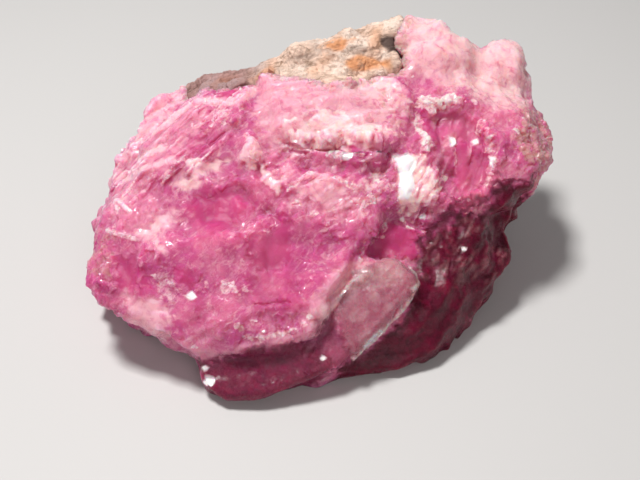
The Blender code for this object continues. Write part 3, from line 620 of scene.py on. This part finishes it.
def streak_lines(a, b, h, streaks, seed):
    """Noise from about -1 to 1 drawn out along a heading in the face's plane."""
    cos, sin = math.cos(math.radians(streaks.heading)), math.sin(math.radians(streaks.heading))
    drawn = np.stack([
        (a * cos + b * sin) / streaks.length, (b * cos - a * sin) / streaks.width, h / streaks.width / 2,
    ], axis=1)
    broad = field(drawn / 2.2, 1.0, seed)
    return np.clip(broad * 0.6 + field(drawn, 1.0, seed + 20) * 0.7, -1, 1)


def relief_of(points, tones):
    """How rough the calcite is at each point."""
    rougher = smooth(field(points, 2.6, 45) * 0.9 + 0.45)
    relief = PLAIN_RELIEF * (LEAST_RELIEF + RELIEF_SPAN * rougher)
    for tone, strength in tones.items():
        relief += (RELIEF[tone] - relief) * np.clip(strength, 0, 1)
    return relief


def key_glint():
    """The normal of a face that throws the key light into the camera."""
    return np.array((Vector(KEY_LIGHT[0]).normalized() + CAMERA_BACK).normalized())


def add_glints(points, normals):
    """Turn the glinting crystal faces to the key light, and say where they are."""
    shown = np.zeros(len(points))
    facing = key_glint()
    a, b = face_frame(points)[:2]
    front = seen(normals)
    for most, outline in GLINTS.values():
        waver = field(points, 0.5, 38) * most * 0.4
        near = smooth((inside(outline, a, b) + waver) / 0.08 + 0.5) * front
        height = (points - np.average(points, axis=0, weights=near + 1e-9)) @ facing
        points = points - (near * np.clip(height, -most, most))[:, None] * facing
        shown = np.maximum(shown, near)
    return points, shown


# --- meshes ---

def fine_copy(node, name, grain, soften_by):
    """A copy of a CAD node in a fine even mesh, its facets smoothed away."""
    obj = bpy.data.objects.new(name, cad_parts[node].data.copy())
    bpy.context.scene.collection.objects.link(obj)
    weld = obj.modifiers.new("weld", "WELD")
    weld.merge_threshold = WELD
    fuse = obj.modifiers.new("fuse", "REMESH")
    fuse.mode = "VOXEL"
    fuse.voxel_size = grain
    soften = obj.modifiers.new("soften", "SMOOTH")
    soften.factor = 0.5
    soften.iterations = round((soften_by / grain) ** 2 * 0.7)
    apply_modifiers(obj)
    return obj


def apply_modifiers(obj):
    """Replace the object's mesh with the one that its modifiers make."""
    made = bpy.data.meshes.new_from_object(obj.evaluated_get(bpy.context.evaluated_depsgraph_get()))
    obj.modifiers.clear()
    obj.data = made


def thin_out(obj, triangles):
    """Take triangles from where the surface is flat until a number is left."""
    obj.data.calc_loop_triangles()
    if len(obj.data.loop_triangles) > triangles:
        thin = obj.modifiers.new("thin", "DECIMATE")
        thin.ratio = triangles / len(obj.data.loop_triangles)
        apply_modifiers(obj)


def read(mesh):
    """The vertices' places in mm and their normals."""
    places = np.empty(len(mesh.vertices) * 3)
    mesh.vertices.foreach_get("co", places)
    normals = np.empty(len(mesh.vertices) * 3)
    mesh.vertices.foreach_get("normal", normals)
    return places.reshape(-1, 3) / MM, normals.reshape(-1, 3)


def write(mesh, points):
    """Put the vertices at places given in mm, no further out than the CAD."""
    low, high = np.array(cad_box) / MM
    mesh.vertices.foreach_set("co", (np.clip(points, low, high) * MM).ravel())
    mesh.update()


def store(mesh, name, values):
    """Keep a number for each vertex under a name that a material can read."""
    layer = mesh.attributes.new(name, "FLOAT", "POINT")
    layer.data.foreach_set("value", np.clip(values, 0, 1).astype(np.float32))


def shade(mesh):
    """Shade a mesh smooth, but for the edges between its chips."""
    mesh.shade_smooth()
    mesh.set_sharp_from_angle(angle=math.radians(SHARP_FROM))


def calcite_piece():
    """The pink crystals, broken down to fine cleavage steps, crumbs and growth lines."""
    obj = fine_copy("calcite_crystals", "calcite_surface", CALCITE_GRAIN, CALCITE_SOFTENING)
    points, normals = read(obj.data)
    tones, rise = features(points, normals)
    near_rock = smooth(CRUST_REACH - apart(points, "matrix_rock") + field(points, 0.8, 49) * 0.5)
    raise_tone(tones, "cream", near_rock * CRUST)
    back = smooth(normals[:, 1] / BACK_FADE)
    relief = relief_of(points, tones) * (1 - back) + back * BACK_RELIEF
    height = rise + sum(chip_heights(points, normals, chips) for chips in CHIPS) * relief
    crumbs = np.maximum(tones["frost"], tones["cream"])
    height += chip_heights(points, normals, CRUMBS) * crumbs
    height += waves(points, CALCITE_SWELLS)
    above = smooth((points[:, 2] - points[:, 2].min()) / RESTING)
    moved = points + normals * (height * above)[:, None]
    moved, glint = add_glints(moved, normals)
    write(obj.data, moved)
    thin_out(obj, CALCITE_TRIANGLES)
    left = read(obj.data)[0]
    write(obj.data, left)
    kept = nearest(moved, left)
    for tone, values in tones.items():
        store(obj.data, tone, values[kept])
    store(obj.data, "glint", glint[kept])
    shade(obj.data)
    return obj


def rock_tones(points, waver):
    """The strength of the rock's tones at each point, and how far the rock sinks there."""
    a, b = face_frame(points)[:2]
    tones = {tone: mottled(points, m) * m.strength for tone, m in ROCK_MOTTLES.items()}
    sink = np.zeros(len(points))
    for outline in ROCK_RUST:
        raise_tone(tones, "rust", smooth((inside(outline, a, b) + waver) / 0.5 + 0.5))
    # pits and crevices sink a little and get painted shade
    for strength, outline in ROCK_PIT_SHADE:
        sunk = smooth((inside(outline, a, b) + waver * 0.5) / 0.5 + 0.5)
        raise_tone(tones, "dark", sunk * strength)
        sink += sunk * ROCK_SINK
    return tones, sink


def rock_piece():
    """The matrix rock, lumpy, chipped and pitted, swelled to close the joint with the calcite."""
    obj = fine_copy("matrix_rock", "matrix_surface", ROCK_GRAIN, ROCK_SOFTENING)
    points, normals = read(obj.data)
    joint = smooth((JOINT_REACH - apart(points, "calcite_crystals")) / JOINT_FADE)
    height = ROCK_RISE + JOINT_RISE * joint
    height += sum(chip_heights(points, normals, chips) * share for chips, share in ROCK_CHIPS)
    height += waves(points, ROCK_SWELLS)
    tones, sink = rock_tones(points, waves(points, ROCK_WAVER))
    write(obj.data, points + normals * (height - sink)[:, None])
    for tone, values in tones.items():
        store(obj.data, tone, values)
    shade(obj.data)
    return obj


# --- materials ---

class Graph:
    """A material's nodes, made one call at a time."""

    def __init__(self, name, heading=0.0):
        self.material = bpy.data.materials.new(name)
        self.material.use_nodes = True
        self.nodes = self.material.node_tree.nodes
        self.links = self.material.node_tree.links
        self.shader = self.nodes["Principled BSDF"]
        self.place = self.node("ShaderNodeTexCoord").outputs["Object"]
        drawn = self.node("ShaderNodeMapping", vector_type="TEXTURE")
        self.put(drawn.inputs["Vector"], self.place)
        turned = FACE.to_3x3() @ Matrix.Rotation(heading, 3, "Z")
        self.put(drawn.inputs["Rotation"], turned.to_euler())
        self.put(drawn.inputs["Scale"], (FLAKE_STRETCH, 1, 1))
        self.drawn = drawn.outputs["Vector"]

    def node(self, kind, **settings):
        """A new node of a kind, with its settings."""
        made = self.nodes.new(kind)
        for key, value in settings.items():
            setattr(made, key, value)
        return made

    def put(self, socket, value):
        """Link a socket, or set it to a number or a colour."""
        if isinstance(value, bpy.types.NodeSocket):
            self.links.new(value, socket)
        elif socket.type == "RGBA":
            socket.default_value = (*value, 1)
        else:
            socket.default_value = value

    def attribute(self, name):
        """A number stored for each vertex."""
        return self.node("ShaderNodeAttribute", attribute_name=name).outputs["Fac"]

    def noise(self, size, detail=4.0, roughness=0.6, distortion=0.0, drawn=False):
        """Noise from 0 to 1 with features of a size in mm, drawn out along the flakes if asked."""
        made = self.node("ShaderNodeTexNoise")
        self.put(made.inputs["Vector"], self.drawn if drawn else self.place)
        self.put(made.inputs["Scale"], 1 / (size * MM))
        self.put(made.inputs["Detail"], detail)
        self.put(made.inputs["Roughness"], roughness)
        self.put(made.inputs["Distortion"], distortion)
        return made.outputs["Fac"]

    def wisps(self, size, width):
        """Thin curling lines, a size in mm apart."""
        line = self.math("ABSOLUTE", self.math("SUBTRACT", self.noise(size, 3, 0.5, 1.0), 0.5))
        return self.ramp(line, width, 0.0)

    def cells(self, size, drawn=False):
        """A colour of its own for each small chip of a size in mm."""
        made = self.node("ShaderNodeTexVoronoi", feature="F1")
        self.put(made.inputs["Vector"], self.drawn if drawn else self.place)
        self.put(made.inputs["Scale"], 1 / (size * MM))
        return made.outputs["Color"]

    def chips(self, size, drawn=False):
        """A number of its own, from 0 to 1, for each small chip of a size in mm."""
        return self.math("FRACT", self.math("MULTIPLY", self.cells(size, drawn), 3.0))

    def tipped(self, size, tip):
        """The surface's normal, tipped its own way on each small chip of a size in mm."""
        off = self.vector("SUBTRACT", self.cells(size), (0.5, 0.5, 0.5))
        off = self.vector("SCALE", off, tip, "Scale")
        normal = self.node("ShaderNodeNewGeometry").outputs["Normal"]
        return self.vector("NORMALIZE", self.vector("ADD", normal, off))

    def vector(self, operation, first, second=None, socket=1):
        """The result of one operation on vectors."""
        made = self.node("ShaderNodeVectorMath", operation=operation)
        self.put(made.inputs[0], first)
        if second is not None:
            self.put(made.inputs[socket], second)
        return made.outputs[0]

    def math(self, operation, first, second=0.0):
        """The result of one operation on two values."""
        made = self.node("ShaderNodeMath", operation=operation)
        self.put(made.inputs[0], first)
        self.put(made.inputs[1], second)
        return made.outputs[0]

    def times(self, first, second):
        """The product of two values."""
        return self.math("MULTIPLY", first, second)

    def swing(self, noise, strength):
        """A noise shifted to lie about zero, and made a number of times as strong."""
        return self.times(self.math("SUBTRACT", noise, 0.5), strength)

    def along(self, span, low, high):
        """Map a span of the X axis smoothly from one number to another."""
        axes = self.node("ShaderNodeSeparateXYZ")
        self.put(axes.inputs[0], self.place)
        return self.ramp(axes.outputs["X"], *span, low, high)

    def ramp(self, value, low, high, to_low=0.0, to_high=1.0):
        """Map a range smoothly to another, held at its ends."""
        made = self.node("ShaderNodeMapRange", interpolation_type="SMOOTHSTEP")
        self.put(made.inputs["Value"], value)
        self.put(made.inputs["From Min"], low)
        self.put(made.inputs["From Max"], high)
        self.put(made.inputs["To Min"], to_low)
        self.put(made.inputs["To Max"], to_high)
        return made.outputs["Result"]

    def mix(self, factor, first, second, blend="MIX"):
        """One colour mixed into another."""
        made = self.node("ShaderNodeMixRGB", blend_type=blend)
        self.put(made.inputs["Fac"], factor)
        self.put(made.inputs["Color1"], first)
        self.put(made.inputs["Color2"], second)
        return made.outputs["Color"]

    def bump(self, height, depth, under=None):
        """Bump of a depth in mm, over another bump."""
        made = self.node("ShaderNodeBump")
        self.put(made.inputs["Distance"], depth * MM)
        self.put(made.inputs["Height"], height)
        if under is not None:
            self.put(made.inputs["Normal"], under)
        return made.outputs["Normal"]


def calcite_fields(g):
    """The tones stored in the mesh and the noises that the calcite's looks are made from."""
    f = SimpleNamespace(**{name: g.attribute(name) for name in (*TONES, "glint")})
    f.cloud = g.noise(3.2, detail=5, distortion=0.5)
    f.veil = g.noise(1.3, detail=7, roughness=0.66, distortion=1.2)
    f.haze = g.noise(1.1, detail=6, roughness=0.7, distortion=1.8)
    f.flake = g.noise(0.45, detail=5, roughness=0.7, distortion=0.8, drawn=True)
    f.mottle = g.noise(0.5, detail=5, roughness=0.7, distortion=0.6)
    f.speck = g.noise(0.16, detail=3, roughness=0.7)
    f.bend = g.node("ShaderNodeNewGeometry").outputs["Pointiness"]
    f.clear = g.math("MAXIMUM", g.math("MAXIMUM", f.deep, f.dusk), f.grey)
    f.even = g.math("MAXIMUM", f.clear, f.milk)
    f.uneven = g.ramp(f.even, 0.1, 0.7, 1.0, 0.0)
    f.cover = crumb_cover(g, f)
    f.crumbs = g.ramp(f.cover, 0.26, 0.66)
    f.flecks = white_flecks(g, f)
    f.crinkles = pink_crinkles(g, f)
    return f


def crumb_cover(g, f):
    """How much crumbled crystal and painted edge highlight lie on the surface, before its borders are drawn
    sharp.
    """
    # sharp edges: partly white crumbs, partly a painted highlight
    edge_crumbs_and_highlight = g.times(g.ramp(f.bend, 0.52, 0.60), 0.42)
    cover = g.math("ADD", g.times(f.frost, 0.60), g.times(edge_crumbs_and_highlight, g.math("SUBTRACT", 1.0, f.clear)))
    for noise_at, strength in ((f.veil, 1.0), (f.haze, 0.5), (f.flake, 1.0)):
        cover = g.math("ADD", cover, g.swing(noise_at, strength))
    return g.math("SUBTRACT", cover, g.times(g.math("ADD", f.even, f.dusk), 0.35))


def white_flecks(g, f):
    """Small white chips among the crumbs."""
    small = g.ramp(g.chips(0.30, drawn=True), 0.88, 0.90)
    large = g.ramp(g.chips(0.55, drawn=True), 0.93, 0.95)
    flecks = g.times(g.math("MAXIMUM", small, large), f.uneven)
    return g.times(flecks, g.ramp(f.crumbs, 0.02, 0.4))


def pink_crinkles(g, f):
    """Thin pink lines that curl through the crumbs, and are faint on milk and pale."""
    crinkles = g.math("MAXIMUM", g.times(g.wisps(0.7, 0.022), 0.7), g.wisps(1.5, 0.012))
    crinkles = g.times(crinkles, g.ramp(f.crumbs, 0.05, 0.5))
    return g.times(crinkles, g.ramp(g.math("MAXIMUM", f.milk, f.pale), 0.1, 0.7, 1.0, 0.25))


def crystal_colour(g, f):
    """Pink, clouded and veiled, with its clear, milky, dark and grey crystals; creases and dark crystal get
    painted shade.
    """
    colour = g.mix(g.ramp(f.cloud, 0.35, 0.68), PINK, PALE_PINK)
    colour = g.mix(g.times(g.ramp(f.veil, 0.40, 0.30), 0.55), colour, DEEP)
    wisps = g.times(g.wisps(1.6, 0.022), g.ramp(f.mottle, 0.35, 0.6))
    milky = g.math("SUBTRACT", g.ramp(f.cloud, 0.42, 0.58), f.clear)
    colour = g.mix(g.times(g.times(wisps, milky), 0.15), colour, FROST)
    flakes = g.math("ADD", g.times(f.haze, 0.5), g.times(f.flake, 0.5))
    colour = g.mix(g.times(g.times(g.ramp(flakes, 0.46, 0.62), f.uneven), 0.55), colour, PALE)
    # painted shade: deeper pink in the creases, weaker on pale
    groove_shade = g.times(g.ramp(f.bend, 0.48, 0.40), g.ramp(f.pale, 0.2, 0.8, 0.35, 0.1))
    colour = g.mix(groove_shade, colour, DEEP)
    colour = g.mix(g.times(f.deep, g.ramp(f.mottle, 0.15, 0.45)), colour, DEEP)
    colour = g.mix(g.times(f.pale, g.ramp(f.veil, 0.25, 0.55)), colour, PALE)
    # dusk: dark clear crystal with painted shade
    colour = g.mix(f.dusk, colour, g.mix(g.ramp(f.veil, 0.35, 0.7), DUSK_SHADE, DUSK_SHADE_PALE))
    colour = g.mix(f.grey, colour, g.mix(g.ramp(f.veil, 0.36, 0.64), GREY_CLEAR, GREY))
    return g.mix(g.times(f.milk, g.ramp(f.veil, 0.3, 0.6, 0.35, 1.0)), colour, MILK)


def crust_colour(g, f, colour):
    """Colour under crumbs, flecks, pink lines, crust and specks, with painted edge highlights and crease
    shade.
    """
    # crumbs, with a painted highlight on sharp edges
    colour = g.mix(g.times(g.ramp(f.cover, 0.10, 0.45), 0.75), colour, PALE)
    colour = g.mix(g.times(f.crumbs, 0.85), colour, FROST)
    # painted shade: pale pink in the creases of the crumbs
    colour = g.mix(g.times(g.ramp(f.bend, 0.49, 0.44), 0.5), colour, PALE_PINK)
    colour = g.mix(g.times(f.flecks, 0.8), colour, FROST)
    colour = g.mix(g.times(f.crinkles, g.ramp(f.veil, 0.35, 0.6, 0.95, 0.35)), colour, CRINKLE)
    stain = g.math("ADD", g.times(f.cream, 0.7), g.swing(f.mottle, 1.2))
    stain = g.math("ADD", stain, g.swing(f.veil, 1.0))
    colour = g.mix(g.times(g.ramp(stain, 0.2, 0.7), 0.75), colour, CREAM)
    specks = g.times(g.ramp(f.speck, 0.70, 0.76), g.ramp(f.mottle, 0.5, 0.6))
    return g.mix(specks, colour, SPECK)


def calcite_gloss(g, f):
    """The shader's scattering, clearness, roughness and coat."""
    inputs = g.shader.inputs
    soft = g.math("SUBTRACT", g.ramp(f.crumbs, 0.0, 1.0, 1.0, 0.7), g.times(f.glint, 0.5))
    g.put(inputs["Subsurface Weight"], soft)
    inputs["Subsurface Radius"].default_value = SCATTER
    inputs["Subsurface Scale"].default_value = SCATTER_DEPTH
    glassy = g.math("ADD", g.times(f.grey, 0.45), g.times(f.dusk, 0.1))
    g.put(inputs["Transmission Weight"], g.math("ADD", glassy, g.times(f.deep, 0.1)))
    rough = g.math("ADD", g.times(f.crumbs, 0.25), g.times(f.mottle, 0.25))
    rough = g.math("ADD", rough, g.times(f.deep, 0.12))
    g.put(inputs["Roughness"], g.math("ADD", rough, 0.15))
    inputs["IOR"].default_value = CALCITE_IOR
    inputs["Specular IOR Level"].default_value = CALCITE_SPECULAR
    dull = g.times(g.math("MAXIMUM", f.dusk, f.deep), 0.4)
    glossy = g.math("ADD", g.ramp(f.haze, 0.45, 0.65, 0.15, 0.40), f.glint)
    glossy = g.math("ADD", glossy, g.math("SUBTRACT", g.times(f.grey, 0.35), dull))
    g.put(inputs["Coat Weight"], g.ramp(glossy, 0.0, 1.0))
    inputs["Coat Roughness"].default_value = COAT_ROUGHNESS
    inputs["Coat IOR"].default_value = CALCITE_IOR


def calcite_relief(g, f):
    """The fine relief under the coat, and the coat's own."""
    glass = g.tipped(0.45, g.ramp(f.crumbs, 0.0, 1.0, 0.14, 0.7))
    g.put(g.shader.inputs["Coat Normal"], g.bump(f.cloud, 0.12, glass))
    relief = g.tipped(0.32, g.ramp(f.crumbs, 0.0, 1.0, 0.15, 0.6))
    rough_at = g.ramp(f.even, 0.0, 0.7, 1.0, 0.25)
    relief = g.bump(g.times(f.flake, rough_at), 0.14, relief)
    relief = g.bump(f.flecks, 0.05, relief)
    relief = g.bump(f.crinkles, -0.06, relief)
    relief = g.bump(g.times(f.mottle, rough_at), 0.08, relief)
    relief = g.bump(g.times(f.speck, rough_at), 0.05, relief)
    g.put(g.shader.inputs["Normal"], relief)


def calcite_material():
    """Translucent pink calcite: clear deep windows, cloudy veils, white crumbs."""
    g = Graph("pink_calcite", FLAKE_HEADING)
    f = calcite_fields(g)
    colour = crust_colour(g, f, crystal_colour(g, f))
    tint = g.mix(g.along(PINK_SPAN, 0.0, 1.0), LEFT_TINT, RIGHT_TINT)
    colour = g.mix(1.0, colour, tint, "MULTIPLY")
    # the glinting faces get a painted white highlight in their colour
    g.put(g.shader.inputs["Base Color"], g.mix(f.glint, colour, PAINTED_GLINT))
    calcite_gloss(g, f)
    calcite_relief(g, f)
    return g.material


def rock_material():
    """Tan and rusty matrix rock with a few dark spots and painted shade in its pits."""
    g = Graph("matrix", ROCK_HEADING)
    rust, dark, cream = g.attribute("rust"), g.attribute("dark"), g.attribute("cream")
    mottle = g.noise(0.6, detail=6, roughness=0.7, distortion=0.8, drawn=True)
    fine = g.noise(0.2, detail=4, roughness=0.7)
    colour = g.mix(g.ramp(mottle, 0.30, 0.60), EARTH, TAN)
    colour = g.mix(g.times(cream, g.ramp(fine, 0.35, 0.6)), colour, ROCK_CREAM)
    colour = g.mix(g.times(rust, g.ramp(mottle, 0.30, 0.5)), colour, RUST)
    # painted shade in the pits and crevices, and a few dark spots
    colour = g.mix(g.times(dark, g.ramp(fine, 0.1, 0.4, 0.5, 1.0)), colour, DARK_SPOTS_AND_PIT_SHADE)
    colour = g.mix(g.along(ROCK_SPAN, 0.9, 0.0), colour, ROCK_LEFT, "MULTIPLY")
    g.put(g.shader.inputs["Base Color"], colour)
    g.put(g.shader.inputs["Roughness"], g.ramp(fine, 0.2, 0.8, 0.55, 0.95))
    relief = g.bump(mottle, 0.30)
    relief = g.bump(g.chips(0.35), 0.06, relief)
    g.put(g.shader.inputs["Normal"], g.bump(fine, 0.10, relief))
    return g.material


def floor_material():
    """A plain pale floor."""
    g = Graph("floor")
    g.put(g.shader.inputs["Base Color"], FLOOR)
    g.put(g.shader.inputs["Roughness"], FLOOR_ROUGHNESS)
    return g.material


# --- stage ---

def aim(obj, place, target):
    """Put an object at a place and turn its -Z axis to a target."""
    obj.location = place
    obj.rotation_mode = "QUATERNION"
    obj.rotation_quaternion = (Vector(target) - Vector(place)).to_track_quat("-Z", "Y")


def add_camera():
    """The camera at the photograph's angle."""
    camera = bpy.data.objects.new("camera", bpy.data.cameras.new("camera"))
    bpy.context.scene.collection.objects.link(camera)
    camera.data.lens = CAMERA_LENS
    camera.data.clip_start = CAMERA_NEAREST
    aim(camera, CAMERA_TARGET + CAMERA_BACK * CAMERA_DISTANCE, CAMERA_TARGET)
    bpy.context.scene.camera = camera


def add_light(name, place, width, power, colour):
    """A square soft light aimed at the specimen."""
    light = bpy.data.lights.new(name, "AREA")
    light.size = width * MM
    light.energy = power
    light.color = colour
    obj = bpy.data.objects.new(name, light)
    bpy.context.scene.collection.objects.link(obj)
    aim(obj, Vector(place) * MM, CAMERA_TARGET)


def add_stage():
    """A plain pale floor, a soft key light from the upper left and a weak fill."""
    bpy.ops.mesh.primitive_plane_add(size=FLOOR_WIDTH)
    floor = bpy.context.object
    floor.name = "floor"
    floor.data.materials.append(floor_material())
    add_light("key", *KEY_LIGHT)
    add_light("fill", *FILL_LIGHT)
    world = bpy.data.worlds.new("studio")
    bpy.context.scene.world = world
    world.use_nodes = True
    background = world.node_tree.nodes["Background"]
    background.inputs["Color"].default_value = (*SKY, 1)
    background.inputs["Strength"].default_value = SKY_STRENGTH
    bpy.context.scene.view_settings.view_transform = "Standard"


def dress(piece, material, node):
    """Give a piece its material, and let it stand for its CAD node."""
    piece.data.materials.clear()
    piece.data.materials.append(material)
    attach(piece, "root")
    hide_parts(node)


add_camera()
add_stage()
dress(calcite_piece(), calcite_material(), "calcite_crystals")
dress(rock_piece(), rock_material(), "matrix_rock")
